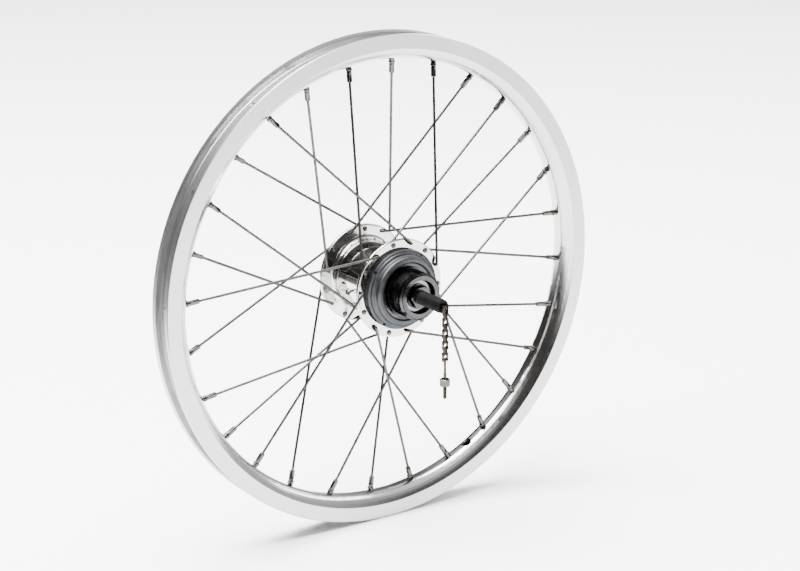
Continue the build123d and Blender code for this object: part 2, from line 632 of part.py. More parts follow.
def make_chain():
    """Flat pin chain that hangs from the rod: outer links carry the pins, inner links turn on them."""
    inner_x = 0.55 + PLATE_GAP + PLATE_THICK / 2
    outer_x = inner_x + PLATE_THICK + PLATE_GAP
    for index in range(LINKS):
        top = CHAIN_TOP_Z - index * LINK_PITCH
        bottom = top - LINK_PITCH
        outer = index % 2 == 0
        offset = outer_x if outer else inner_x
        link = link_plate(offset, top) + link_plate(-offset, top)
        pins = []
        for z in (top, bottom):
            half = outer_x + PLATE_THICK / 2 + 0.2
            pins.append(rod((-half, CHAIN_DROP_Y, z), (half, CHAIN_DROP_Y, z), LINK_PIN_R))
        if outer:
            link = link + pins
        else:
            bores = []
            for z in (top, bottom):
                bores.append(rod((-4, CHAIN_DROP_Y, z), (4, CHAIN_DROP_Y, z), LINK_PIN_R + RUNNING_GAP))
            bush = Pos(0, CHAIN_DROP_Y, (top + bottom) / 2) * Box(2 * inner_x, 1.3, 1.0)
            link = link - bores + bush
        save(f"chain_link_{index + 1}", link)


def make_chain_end():
    """Eye and rod below the last link, a ferrule, the knurled locknut and the screwed end."""
    last = CHAIN_TOP_Z - LINKS * LINK_PITCH
    eye = Pos(0, CHAIN_DROP_Y, last) * Box(1.1, 2.6, 2.8)
    bore = rod((-3, CHAIN_DROP_Y, last), (3, CHAIN_DROP_Y, last), LINK_PIN_R + RUNNING_GAP)
    stem_end = last - 9.6
    stem = rod((0, CHAIN_DROP_Y, last - 0.8), (0, CHAIN_DROP_Y, stem_end), 0.9)
    collar_end = stem_end - 4.6
    collar = rod((0, CHAIN_DROP_Y, stem_end), (0, CHAIN_DROP_Y, collar_end), 1.2)
    neck_end = collar_end - 1.0
    neck = rod((0, CHAIN_DROP_Y, collar_end), (0, CHAIN_DROP_Y, neck_end), 0.95)
    screw_end = collar_end - 14.2
    screw = rod((0, CHAIN_DROP_Y, neck_end), (0, CHAIN_DROP_Y, screw_end), 1.45)
    relief = rod((0, CHAIN_DROP_Y, collar_end - 5.7), (0, CHAIN_DROP_Y, collar_end - 6.5), 4)
    relief -= rod((0, CHAIN_DROP_Y, collar_end - 5), (0, CHAIN_DROP_Y, collar_end - 7), 1.05)
    tip = Pos(0, CHAIN_DROP_Y, screw_end) * Sphere(1.45)
    save("chain_end_rod", eye - bore + stem + collar + neck + (screw - relief) + tip)
    nut_top = collar_end - 0.2
    nut = rod((0, CHAIN_DROP_Y, nut_top), (0, CHAIN_DROP_Y, nut_top - 5.4), 3.7)
    thread = rod((0, CHAIN_DROP_Y, nut_top + 1), (0, CHAIN_DROP_Y, nut_top - 6.5), 1.45 + RUNNING_GAP)
    save("chain_locknut", nut - thread)


make_lacing()
make_rim()
make_shell()
make_ball_ring()
make_left_cup()
make_axle()
make_axle_fittings()
make_driver()
make_clutch()
make_indicator()
make_cage()
make_planets()
make_gear_ring()
make_bearing("right_cone", CONE_BALL_CIRCLE_R, BALL_R, CONE_BALLS, RIGHT_BALLS_Y, 2.3, 2.8, 0.4)
make_bearing("driver", DRIVER_BALL_CIRCLE_R, SMALL_BALL_R, DRIVER_BALLS, DRIVER_BALLS_Y, 1.9, 1.9, 0.25)
make_bearing("left_cone", CONE_BALL_CIRCLE_R, BALL_R, CONE_BALLS, LEFT_BALLS_Y, -2.3, 2.8, 0.4)
make_chain()
make_chain_end()
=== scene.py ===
"""Looks of the hub-gear wheel: procedural metals, laced spokes, nipples, threads and a soft studio."""
import bmesh
import bpy
import json
import math
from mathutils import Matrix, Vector


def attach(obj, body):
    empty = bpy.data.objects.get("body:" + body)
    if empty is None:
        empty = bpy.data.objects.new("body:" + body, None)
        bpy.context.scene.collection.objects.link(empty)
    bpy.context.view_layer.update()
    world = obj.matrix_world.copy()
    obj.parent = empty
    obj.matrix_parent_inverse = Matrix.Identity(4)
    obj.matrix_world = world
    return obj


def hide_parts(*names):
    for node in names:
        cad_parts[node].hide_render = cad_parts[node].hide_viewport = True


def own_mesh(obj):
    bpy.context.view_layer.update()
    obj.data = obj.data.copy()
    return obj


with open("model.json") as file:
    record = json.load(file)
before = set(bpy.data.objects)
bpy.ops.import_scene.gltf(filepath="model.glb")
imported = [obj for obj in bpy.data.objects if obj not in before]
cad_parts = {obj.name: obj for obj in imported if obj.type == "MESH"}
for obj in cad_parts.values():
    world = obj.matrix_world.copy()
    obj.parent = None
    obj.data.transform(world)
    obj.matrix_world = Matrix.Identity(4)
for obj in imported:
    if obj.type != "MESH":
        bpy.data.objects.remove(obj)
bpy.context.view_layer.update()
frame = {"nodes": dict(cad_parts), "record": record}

MM = 0.001
TAU = 2 * math.pi

# ---------------------------------------------------------------- camera, floor and light
CAMERA_AT = Vector((-0.8683, -1.2991, 0.4743))
CAMERA_YAW = -34.28
CAMERA_PITCH = 17.03
LENS = 99.83
SENSOR_WIDTH = 36.0

FLOOR_Z = -0.1841
FLOOR_HALF = 14.0
FLOOR_COLOUR = (0.93, 0.93, 0.935)

# The room is seen in reflections only: heights and sides are cosines of the direction looked in.
ROOM_DARK = (0.008, 0.007, 0.006)
ROOM_MIDDLE = (0.040, 0.036, 0.033)
CEILING_COLOUR = (1.0, 1.0, 1.0)
MIDDLE_HEIGHT = 0.55
CEILING_HEIGHT = 0.92
WALL_FROM, WALL_TO = 0.35, 0.85
WALL_LEVEL = 0.4
WORLD_STRENGTH = 2.2

# Painted shade: a dark sheet that only reflections see, mirrored by the metal on the left.
CARD_COLOUR = (0.012, 0.011, 0.010)
CARD_FAR_X, CARD_EDGE_X = -8.0, -0.47
CARD_HALF_Y = 6.0
CARD_LIFT = 0.002

KEY_WATTS = 680.0
KEY_AT = (-0.6, 0.3, 2.4)
KEY_SIZE = (2.4, 2.4)
FILL_WATTS = 90.0
FILL_AT = (2.6, -0.2, 1.6)
FILL_SIZE = (1.2, 1.8)
FILL_COLOUR = (0.98, 0.99, 1.0)


def make_camera():
    data = bpy.data.cameras.new("photo_camera")
    data.lens = LENS
    data.sensor_width = SENSOR_WIDTH
    data.clip_start = 0.01
    data.clip_end = 60.0
    camera = bpy.data.objects.new("photo_camera", data)
    camera.location = CAMERA_AT
    camera.rotation_euler = (math.radians(90 - CAMERA_PITCH), 0, math.radians(CAMERA_YAW))
    bpy.context.collection.objects.link(camera)
    bpy.context.scene.camera = camera


def area_light(name, location, size, watts, colour=(1, 1, 1)):
    """Rectangular softbox that faces the wheel's centre."""
    data = bpy.data.lights.new(name, "AREA")
    data.shape = "RECTANGLE"
    data.size, data.size_y = size
    data.energy = watts
    data.color = colour
    light = bpy.data.objects.new(name, data)
    light.location = location
    light.rotation_euler = (-Vector(location)).to_track_quat("-Z", "Y").to_euler()
    bpy.context.collection.objects.link(light)


def flat_sheet(name, x_span, y_half, z, colour, roughness):
    """Horizontal sheet with its own matt material."""
    mesh = bpy.data.meshes.new(name)
    (x_from, x_to), y_from, y_to = x_span, -y_half, y_half
    corners = [(x_from, y_from, z), (x_to, y_from, z), (x_to, y_to, z), (x_from, y_to, z)]
    mesh.from_pydata(corners, [], [(0, 1, 2, 3)])
    sheet = bpy.data.objects.new(name, mesh)
    bpy.context.collection.objects.link(sheet)
    material = bpy.data.materials.new(name)
    material.use_nodes = True
    shader = material.node_tree.nodes["Principled BSDF"]
    shader.inputs["Base Color"].default_value = (*colour, 1)
    shader.inputs["Roughness"].default_value = roughness
    mesh.materials.append(material)
    return sheet, shader


def make_floor():
    span = (-FLOOR_HALF, FLOOR_HALF)
    floor, shader = flat_sheet("studio_floor", span, FLOOR_HALF, FLOOR_Z, FLOOR_COLOUR, 0.85)
    shader.inputs["Specular IOR Level"].default_value = 0.15


def make_world():
    """Dim room: a bright ceiling, dark sides and a grey wall on the right."""
    world = bpy.data.worlds.new("studio")
    bpy.context.scene.world = world
    world.use_nodes = True
    tree = world.node_tree
    nodes, links = tree.nodes, tree.links
    background = nodes["Background"]
    where = nodes.new("ShaderNodeTexCoord")
    split = nodes.new("ShaderNodeSeparateXYZ")
    links.new(where.outputs["Generated"], split.inputs[0])
    ceiling = nodes.new("ShaderNodeValToRGB")
    links.new(split.outputs["Z"], ceiling.inputs["Fac"])
    stops = ceiling.color_ramp.elements
    stops[0].position, stops[0].color = 0.0, (*ROOM_DARK, 1)
    stops[1].position, stops[1].color = CEILING_HEIGHT, (*CEILING_COLOUR, 1)
    middle = stops.new(MIDDLE_HEIGHT)
    middle.color = (*ROOM_MIDDLE, 1)
    wall = nodes.new("ShaderNodeMapRange")
    wall.interpolation_type = "SMOOTHSTEP"
    wall.inputs["From Min"].default_value = WALL_FROM
    wall.inputs["From Max"].default_value = WALL_TO
    wall.inputs["To Max"].default_value = WALL_LEVEL
    links.new(split.outputs["X"], wall.inputs["Value"])
    total = nodes.new("ShaderNodeMix")
    total.data_type = "RGBA"
    total.blend_type = "ADD"
    total.inputs["Factor"].default_value = 1.0
    links.new(ceiling.outputs["Color"], total.inputs[6])
    links.new(wall.outputs[0], total.inputs[7])
    links.new(total.outputs[2], background.inputs["Color"])
    background.inputs["Strength"].default_value = WORLD_STRENGTH


def make_dark_card():
    """Dark sheet on the floor left of the wheel that only reflections see: painted shade for the metal to
    mirror.
    """
    span = (CARD_FAR_X, CARD_EDGE_X)
    card, _ = flat_sheet("dark_card", span, CARD_HALF_Y, FLOOR_Z + CARD_LIFT, CARD_COLOUR, 0.9)
    card.visible_camera = False
    card.visible_diffuse = False
    card.visible_shadow = False


def make_lights():
    area_light("overhead_softbox", KEY_AT, KEY_SIZE, KEY_WATTS)
    area_light("right_softbox", FILL_AT, FILL_SIZE, FILL_WATTS, FILL_COLOUR)


# ---------------------------------------------------------------- materials
# Plated and drawn steel turns dull at grazing angles, so it keeps a dark edge against white.
DARK_EDGE = 0.08
DARK_BELOW = 0.2
RIM_COLOUR = (0.46, 0.46, 0.46)
# The brake track begins at this radius, in metres, and the finish changes over twice the edge.
TRACK_INNER_R = 0.173
TRACK_EDGE = 0.0005


class Nodes:
    """Short hand for one material's node tree."""

    def __init__(self, name, colour, metallic, roughness):
        self.material = bpy.data.materials.new(name)
        self.material.use_nodes = True
        self.tree = self.material.node_tree
        self.shader = self.tree.nodes["Principled BSDF"]
        self.shader.inputs["Base Color"].default_value = (*colour, 1)
        self.shader.inputs["Metallic"].default_value = metallic
        self.shader.inputs["Roughness"].default_value = roughness
        if metallic and max(colour) < DARK_BELOW:
            self.shader.inputs["Specular Tint"].default_value = (DARK_EDGE, DARK_EDGE, DARK_EDGE, 1)
        coordinates = self.new("ShaderNodeTexCoord")
        self.position = coordinates.outputs["Object"]

    def new(self, kind, **settings):
        node = self.tree.nodes.new(kind)
        for key, value in settings.items():
            setattr(node, key, value)
        return node

    def link(self, output, target):
        self.tree.links.new(output, target)

    def math(self, operation, first, second=None):
        node = self.new("ShaderNodeMath", operation=operation)
        for socket, value in zip(node.inputs, (first, second)):
            if value is None:
                continue
            if isinstance(value, (int, float)):
                socket.default_value = value
            else:
                self.link(value, socket)
        return node.outputs[0]

    def radial(self):
        """Distance from the wheel's axis, and the y along it."""
        split = self.new("ShaderNodeSeparateXYZ")
        self.link(self.position, split.inputs[0])
        across = self.math("MULTIPLY", split.outputs["X"], split.outputs["X"])
        up = self.math("MULTIPLY", split.outputs["Z"], split.outputs["Z"])
        return self.math("SQRT", self.math("ADD", across, up)), split.outputs["Y"]

    def noise(self, scale, detail):
        node = self.new("ShaderNodeTexNoise")
        node.inputs["Scale"].default_value = scale
        node.inputs["Detail"].default_value = detail
        self.link(self.position, node.inputs["Vector"])
        return node.outputs["Fac"]

    def lines(self, scale, along=None):
        """Fine turned rings: one-dimensional noise of radius plus y."""
        radius, y = self.radial()
        node = self.new("ShaderNodeTexNoise", noise_dimensions="1D")
        node.inputs["Scale"].default_value = scale
        node.inputs["Detail"].default_value = 4.0
        self.link(along or self.math("ADD", radius, self.math("MULTIPLY", y, 0.83)), node.inputs["W"])
        return node.outputs["Fac"]

    def blend(self, factor, low, high):
        ramp = self.new("ShaderNodeValToRGB")
        ramp.color_ramp.elements[0].position = low[0]
        ramp.color_ramp.elements[0].color = (*low[1], 1)
        ramp.color_ramp.elements[1].position = high[0]
        ramp.color_ramp.elements[1].color = (*high[1], 1)
        self.link(factor, ramp.inputs["Fac"])
        return ramp.outputs["Color"]

    def remap(self, value, low, high):
        node = self.new("ShaderNodeMapRange")
        node.inputs["To Min"].default_value = low
        node.inputs["To Max"].default_value = high
        self.link(value, node.inputs["Value"])
        return node.outputs[0]

    def rough(self, value, low, high):
        self.link(self.remap(value, low, high), self.shader.inputs["Roughness"])

    def tint(self, value, dark, light, low=0.3, high=0.7):
        self.link(self.blend(value, (low, dark), (high, light)), self.shader.inputs["Base Color"])

    def bump(self, value, strength, distance):
        node = self.new("ShaderNodeBump")
        node.inputs["Strength"].default_value = strength
        node.inputs["Distance"].default_value = distance
        self.link(value, node.inputs["Height"])
        self.link(node.outputs["Normal"], self.shader.inputs["Normal"])


def shade(colour, factor):
    return tuple(min(1.0, channel * factor) for channel in colour)


def turned_metal(name, colour, roughness, ring_scale=2600.0, bump=0.15, stain=0.8):
    """Metal with the fine rings a lathe leaves and faint handling marks."""
    nodes = Nodes(name, colour, 1.0, roughness)
    rings = nodes.lines(ring_scale)
    marks = nodes.noise(190.0, 5.0)
    uneven = nodes.math("MULTIPLY", rings, nodes.math("ADD", marks, 0.5))
    nodes.rough(uneven, roughness * 0.7, roughness * 1.5)
    nodes.tint(marks, shade(colour, stain), colour, 0.3, 0.62)
    nodes.bump(rings, bump, 0.00004)
    return nodes.material


def polished_metal(name, colour, roughness):
    """Buffed metal: nearly clean mirror with soft swirls and a few hazy patches."""
    nodes = Nodes(name, colour, 1.0, roughness)
    haze = nodes.noise(60.0, 4.0)
    swirl = nodes.noise(900.0, 6.0)
    nodes.rough(haze, roughness * 0.6, roughness * 1.6)
    nodes.tint(haze, shade(colour, 0.93), colour)
    nodes.bump(swirl, 0.05, 0.00002)
    return nodes.material


def wire_metal(name, colour, roughness):
    """Drawn wire: streaky grey with darker drawing marks."""
    nodes = Nodes(name, colour, 1.0, roughness)
    streak = nodes.noise(420.0, 5.0)
    patch = nodes.noise(45.0, 3.0)
    nodes.tint(streak, shade(colour, 0.62), colour, 0.28, 0.66)
    nodes.rough(patch, roughness * 0.7, roughness * 1.4)
    nodes.bump(streak, 0.12, 0.00003)
    return nodes.material


def black_oxide(name):
    nodes = Nodes(name, (0.012, 0.011, 0.010), 0.0, 0.55)
    nodes.shader.inputs["Specular IOR Level"].default_value = 0.07
    grain = nodes.noise(700.0, 5.0)
    wear = nodes.noise(120.0, 4.0)
    nodes.tint(wear, (0.0015, 0.0015, 0.0015), (0.006, 0.0055, 0.005), 0.35, 0.8)
    nodes.rough(grain, 0.42, 0.7)
    nodes.bump(grain, 0.15, 0.00003)
    return nodes.material


def rim_metal():
    """Anodised rim: machined brake tracks near the outside, satin extrusion elsewhere."""
    nodes = Nodes("rim_satin", RIM_COLOUR, 1.0, 0.2)
    radius, _ = nodes.radial()
    rings = nodes.lines(5200.0, radius)
    grain = nodes.noise(320.0, 5.0)
    cloud = nodes.noise(16.0, 3.0)
    on_track = nodes.new("ShaderNodeMapRange")
    on_track.inputs["From Min"].default_value = TRACK_INNER_R - TRACK_EDGE
    on_track.inputs["From Max"].default_value = TRACK_INNER_R + TRACK_EDGE
    nodes.link(radius, on_track.inputs["Value"])
    track = on_track.outputs[0]
    machined = nodes.remap(rings, 0.24, 0.42)
    satin = nodes.remap(cloud, 0.15, 0.22)
    mix = nodes.new("ShaderNodeMix")
    nodes.link(track, mix.inputs["Factor"])
    nodes.link(satin, mix.inputs[2])
    nodes.link(machined, mix.inputs[3])
    nodes.link(mix.outputs[0], nodes.shader.inputs["Roughness"])
    nodes.tint(cloud, shade(RIM_COLOUR, 0.94), RIM_COLOUR, 0.35, 0.65)
    height = nodes.math("ADD", nodes.math("MULTIPLY", rings, track), nodes.math("MULTIPLY", grain, 0.25))
    nodes.bump(height, 0.22, 0.00004)
    return nodes.material


def make_materials():
    return {
        "rim_aluminium": rim_metal(),
        "polished_aluminium": polished_metal("hub_polish", (0.52, 0.512, 0.50), 0.08),
        "spoke_steel": wire_metal("spoke_wire", (0.082, 0.079, 0.075), 0.34),
        "nickel": turned_metal("nipple_nickel", (0.095, 0.091, 0.083), 0.2, 1800.0, 0.1, 0.65),
        "grey_steel": turned_metal("ball_ring_grey", (0.062, 0.064, 0.068), 0.42, 2200.0, 0.3, 0.75),
        "driver_steel": turned_metal("driver_dark", (0.055, 0.055, 0.058), 0.22, 1500.0, 0.3, 0.45),
        "plated_steel": turned_metal("bright_zinc", (0.060, 0.060, 0.060), 0.24, 2600.0, 0.15, 0.75),
        "black_steel": black_oxide("axle_black"),
        "gear_steel": turned_metal("gear_ground", (0.13, 0.13, 0.13), 0.28, 2400.0, 0.15, 0.7),
        "bearing_steel": turned_metal("bearing_ground", (0.17, 0.17, 0.168), 0.2, 3000.0, 0.1, 0.8),
        "ball_steel": polished_metal("ball_polish", (0.35, 0.35, 0.35), 0.06),
        "spring_steel": wire_metal("spring_wire", (0.09, 0.086, 0.083), 0.3),
        "chain_steel": turned_metal("chain_nickel", (0.060, 0.053, 0.041), 0.34, 1500.0, 0.2, 0.4),
    }


def dress_nodes(materials):
    """Give every CAD node its slot's material."""
    for row in frame["record"]["subparts"]:
        node = frame["nodes"][row["node"]]
        node.data.materials.clear()
        node.data.materials.append(materials[row["material_slot"]])


# ---------------------------------------------------------------- mesh helpers
SHARP = math.radians(35)


def new_piece(name, bm, slot, body, *replaced):
    """Finish a bmesh as a smooth-shaded piece that rides on a body and stands for CAD nodes."""
    bmesh.ops.remove_doubles(bm, verts=bm.verts, dist=1e-7)
    bmesh.ops.recalc_face_normals(bm, faces=bm.faces)
    for face in bm.faces:
        face.smooth = True
    for edge in bm.edges:
        if len(edge.link_faces) == 2 and edge.calc_face_angle(0.0) > SHARP:
            edge.smooth = False
    mesh = bpy.data.meshes.new(name)
    bm.to_mesh(mesh)
    bm.free()
    mesh.materials.append(MATERIALS[slot])
    piece = bpy.data.objects.new(name, mesh)
    bpy.context.collection.objects.link(piece)
    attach(piece, body)
    if replaced:
        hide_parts(*replaced)
    return piece


def scaled(pairs):
    """Outline pairs from millimetres to metres."""
    return [(along * MM, radius * MM) for along, radius in pairs]


def axes_of(direction):
    """Two unit vectors square to a direction and to each other."""
    direction = direction.normalized()
    helper = Vector((0, 1, 0)) if abs(direction.y) < 0.9 else Vector((1, 0, 0))
    first = direction.cross(helper).normalized()
    return first, direction.cross(first).normalized()


def skin(bm, loops, close_start=True, close_end=True, closed_path=False):
    """Quads between equal loops of points, capped at the ends."""
    rows = [[bm.verts.new(point) for point in loop] for loop in loops]
    count = len(rows[0])
    pairs = list(zip(rows, rows[1:]))
    if closed_path:
        pairs.append((rows[-1], rows[0]))
    for row, following in pairs:
        for i in range(count):
            j = (i + 1) % count
            bm.faces.new((row[i], row[j], following[j], following[i]))
    if close_start and not closed_path:
        bm.faces.new(rows[0])
    if close_end and not closed_path:
        bm.faces.new(list(reversed(rows[-1])))


def lathe(bm, origin, direction, profile, sides, shape=None, close=True):
    """Turned form from (distance along, radius); shape may vary the radius by distance and angle."""
    first, second = axes_of(direction)
    direction = direction.normalized()
    loops = []
    for along, radius in profile:
        loop = []
        for i in range(sides):
            angle = TAU * i / sides
            wide = shape(along, angle, radius) if shape else radius
            out = first * math.cos(angle) + second * math.sin(angle)
            loop.append(origin + direction * along + out * wide)
        loops.append(loop)
    skin(bm, loops, close, close)


def ring_lathe(bm, profile, sides, origin=Vector((0, 0, 0)), direction=Vector((0, 1, 0))):
    """Closed ring from a closed (distance along, radius) outline that doesn't touch the axis."""
    first, second = axes_of(direction)
    loops = []
    for i in range(sides):
        angle = TAU * i / sides
        out = first * math.cos(angle) + second * math.sin(angle)
        loops.append([origin + direction * along + out * radius for along, radius in profile])
    skin(bm, loops, closed_path=True)


def tube(bm, path, radius, sides):
    """Round wire along a path, with its frame carried along so that it doesn't twist."""
    loops = []
    first = None
    for i, point in enumerate(path):
        ahead = path[min(i + 1, len(path) - 1)] - path[max(i - 1, 0)]
        ahead.normalize()
        if first is None:
            first, second = axes_of(ahead)
        else:
            first = (first - ahead * first.dot(ahead)).normalized()
            second = ahead.cross(first)
        turns = [TAU * k / sides for k in range(sides)]
        loops.append([point + (first * math.cos(t) + second * math.sin(t)) * radius for t in turns])
    skin(bm, loops)


def at_clock(radius, clock, y=0.0):
    turn = math.radians(clock)
    return Vector((radius * math.sin(turn), y, radius * math.cos(turn)))


# ---------------------------------------------------------------- spokes and nipples
# Sizes repeat the model's, in millimetres.
SPOKES = 28
PER_FAMILY = SPOKES // 4
RIM_PITCH = 360.0 / SPOKES
FLANGE_PITCH = 2 * RIM_PITCH
RIM_FIRST_CLOCK = 3.5
SPOKE_BED_R = 165.0
HOLE_CIRCLE_R = 33.6
FLANGE_THICK = 2.8
FLANGE_FACE = {-1: -24.9, 1: 26.3}
RIGHT_HOLE_CLOCK = -9.5
LEFT_HOLE_CLOCK = 3.1
SPOKE_R = 1.0
NIPPLE_LENGTH = 11.5
LACING = (
    ("drive_outer_spokes", -1, RIGHT_HOLE_CLOCK + 3 * FLANGE_PITCH, RIM_FIRST_CLOCK + RIM_PITCH, True),
    ("drive_inner_spokes", -1, RIGHT_HOLE_CLOCK, RIM_FIRST_CLOCK + 3 * RIM_PITCH, False),
    ("left_outer_spokes", 1, LEFT_HOLE_CLOCK + 2 * FLANGE_PITCH, RIM_FIRST_CLOCK, True),
    ("left_inner_spokes", 1, LEFT_HOLE_CLOCK - FLANGE_PITCH, RIM_FIRST_CLOCK + 2 * RIM_PITCH, False),
)
OUTER_ELBOW_OUT, OUTER_BEND = 2.7, 1.9
INNER_ELBOW_IN, INNER_BEND = 1.3, 1.2
BEND_STEPS = 8
SPOKE_END_SHORT = 3.0
HEAD_PROFILE = ((-0.02, 1.0), (0.0, 1.9), (0.3, 1.95), (0.62, 1.8), (0.9, 1.4), (1.06, 0.8), (1.1, 0.15))
NIPPLE_PROFILE = ((0.35, 1.06), (0.0, 1.15), (0.02, 1.5), (0.3, 1.82), (0.6, 1.95), (6.4, 1.95), (7.1, 1.9),
                  (7.5, 1.75), (7.9, 1.75), (8.1, 2.2), (8.3, 2.33), (9.5, 2.33), (9.7, 2.2), (9.8, 1.95),
                  (14.1, 1.95), (14.2, 2.8), (15.9, 2.8), (16.5, 2.2), (16.5, 1.1))
WRENCH_FLAT = 1.62
FLATS_FROM, FLATS_TO = 0.3, 6.9


def spoke_ends(side, hole_clock, rim_clock, outside):
    outer_face = FLANGE_FACE[side]
    inner_face = outer_face - side * FLANGE_THICK
    elbow_y = outer_face + side * OUTER_ELBOW_OUT if outside else inner_face - side * INNER_ELBOW_IN
    head_face = inner_face if outside else outer_face
    head_out = -side if outside else side
    elbow = at_clock(HOLE_CIRCLE_R, hole_clock, elbow_y) * MM
    head = at_clock(HOLE_CIRCLE_R, hole_clock, head_face) * MM
    return elbow, head, Vector((0, head_out, 0)), at_clock(SPOKE_BED_R, rim_clock) * MM


def spoke_path(elbow, head, seat, bend):
    """Through the flange, round the elbow on a smooth bend, then straight to the nipple."""
    into = (head - elbow).normalized()
    along = (seat - elbow).normalized()
    start, finish = elbow + into * bend, elbow + along * bend
    points = [head]
    for i in range(BEND_STEPS + 1):
        t = i / BEND_STEPS
        points.append(start * (1 - t) ** 2 + elbow * 2 * t * (1 - t) + finish * t * t)
    for share in (0.25, 0.5, 0.75, 1.0):
        points.append(finish.lerp(seat - along * SPOKE_END_SHORT * MM, share))
    return points


def nipple_shape(along, angle, radius):
    if FLATS_FROM * MM < along < FLATS_TO * MM:
        return min(radius, WRENCH_FLAT * MM / max(abs(math.cos(angle)), abs(math.sin(angle))))
    return radius


def make_lacing():
    nipples = {-1: bmesh.new(), 1: bmesh.new()}
    for node, side, hole_clock, rim_clock, outside in LACING:
        wires = bmesh.new()
        for i in range(PER_FAMILY):
            step = 360.0 / PER_FAMILY * i
            elbow, head, head_out, seat = spoke_ends(side, hole_clock + step, rim_clock + step, outside)
            bend = (OUTER_BEND if outside else INNER_BEND) * MM
            tube(wires, spoke_path(elbow, head, seat, bend), SPOKE_R * MM, 16)
            lathe(wires, head, head_out, scaled(HEAD_PROFILE), 24)
            along = (seat - elbow).normalized()
            tip = seat - along * NIPPLE_LENGTH * MM
            lathe(nipples[side], tip, along, scaled(NIPPLE_PROFILE), 32, nipple_shape, close=False)
        new_piece(node + "_wire", wires, "spoke_steel", "wheel", node)
    new_piece("drive_nipple_set", nipples[-1], "nickel", "wheel", "drive_nipples")
    new_piece("left_nipple_set", nipples[1], "nickel", "wheel", "left_nipples")


# ---------------------------------------------------------------- axle and its threads
AXLE_R = 5.15
THREAD_PITCH = 0.977
THREAD_DEPTH = 0.5
HALF_FLATS = 4.8
END_CHAMFER = 0.9
BORE_R = 2.3
BORE_DEPTH = 25.0
HALF_SLOT = 1.8
DRIVE_END, DRIVE_THREAD_END = -79.5, -53.2
SLOT_FROM, SLOT_TO = -26.3, -14.9
LEFT_THREAD_END, LEFT_END = 46.2, 70.0
AXLE_SIDES = 64
ROWS_A_TURN = 8


def thread_radius(y, angle):
    """Radius of the axle's rounded V thread at a distance along and an angle."""
    phase = (y / THREAD_PITCH - angle / TAU) % 1.0
    return AXLE_R - THREAD_DEPTH * abs(2 * phase - 1) ** 1.3


def circle(radius, y):
    """Points round the axle's axis, in metres."""
    turns = [TAU * i / AXLE_SIDES for i in range(AXLE_SIDES)]
    return [Vector((radius * math.cos(t), y, radius * math.sin(t))) * MM for t in turns]


def threaded_loops(y_from, y_to):
    """Loops of the axle's threaded end, chamfered at y_from, with its two flats."""
    rows = int(abs(y_to - y_from) / THREAD_PITCH * ROWS_A_TURN)
    loops = []
    for row in range(rows + 1):
        y = y_from + (y_to - y_from) * row / rows
        widest = AXLE_R - END_CHAMFER + abs(y - y_from)
        loop = []
        for i in range(AXLE_SIDES):
            angle = TAU * i / AXLE_SIDES
            radius = min(thread_radius(y, angle), widest)
            z = max(-HALF_FLATS, min(HALF_FLATS, radius * math.sin(angle)))
            loop.append(Vector((radius * math.cos(angle), y, z)) * MM)
        loops.append(loop)
    return loops


def make_axle():
    bm = bmesh.new()
    bore = [circle(BORE_R, DRIVE_END + BORE_DEPTH), circle(BORE_R, DRIVE_END + END_CHAMFER),
            circle(BORE_R + END_CHAMFER, DRIVE_END)]
    skin(bm, bore + threaded_loops(DRIVE_END, DRIVE_THREAD_END))
    skin(bm, threaded_loops(LEFT_END, LEFT_THREAD_END))
    hollow = [(DRIVE_THREAD_END, BORE_R), (DRIVE_THREAD_END, AXLE_R),
              (SLOT_FROM, AXLE_R), (SLOT_FROM, BORE_R)]
    ring_lathe(bm, scaled(hollow), AXLE_SIDES)
    cheeks(bm, SLOT_FROM, SLOT_TO)
    solid = [(SLOT_TO, AXLE_R), (LEFT_THREAD_END, AXLE_R)]
    lathe(bm, Vector((0, 0, 0)), Vector((0, 1, 0)), scaled(solid), AXLE_SIDES)
    new_piece("axle_threaded", bm, "black_steel", "axle_assembly", "axle")


def cheeks(bm, y_from, y_to):
    """The two halves of the axle beside the key's slot."""
    reach_out = math.acos(HALF_SLOT / AXLE_R)
    reach_in = math.acos(HALF_SLOT / BORE_R)
    for middle in (math.pi / 2, -math.pi / 2):
        angles_out = [middle + reach_out * i / 10 for i in range(-10, 11)]
        angles_in = [middle - reach_in * i / 5 for i in range(-5, 6)]
        outline = [(AXLE_R * math.cos(a), AXLE_R * math.sin(a)) for a in angles_out]
        outline += [(BORE_R * math.cos(a), BORE_R * math.sin(a)) for a in angles_in]
        skin(bm, [[Vector((x, y, z)) * MM for x, z in outline] for y in (y_from, y_to)])


# ---------------------------------------------------------------- indicator chain
CHAIN_Y = -82.2
LINK_PITCH = 4.3
LINKS = 9
CHAIN_BOTTOM = -LINKS * LINK_PITCH
PLATE_END_R, PLATE_WAIST, PLATE_THICK, PLATE_EDGE = 1.45, 1.02, 0.65, 0.12
OUTER_PLATE_X, INNER_PLATE_X = 1.765, 0.995
PIN_R, PIN_HALF, PIN_DOME = 0.75, 2.28, 0.18
WEB_R, WEB_HALF = 0.55, 0.9
EYE_THICK, EYE_R, EYE_HOLE_R, EYE_EDGE = 1.1, 1.38, 0.6, 0.12
DOWN = Vector((0, 0, -1))
ACROSS = Vector((1, 0, 0))


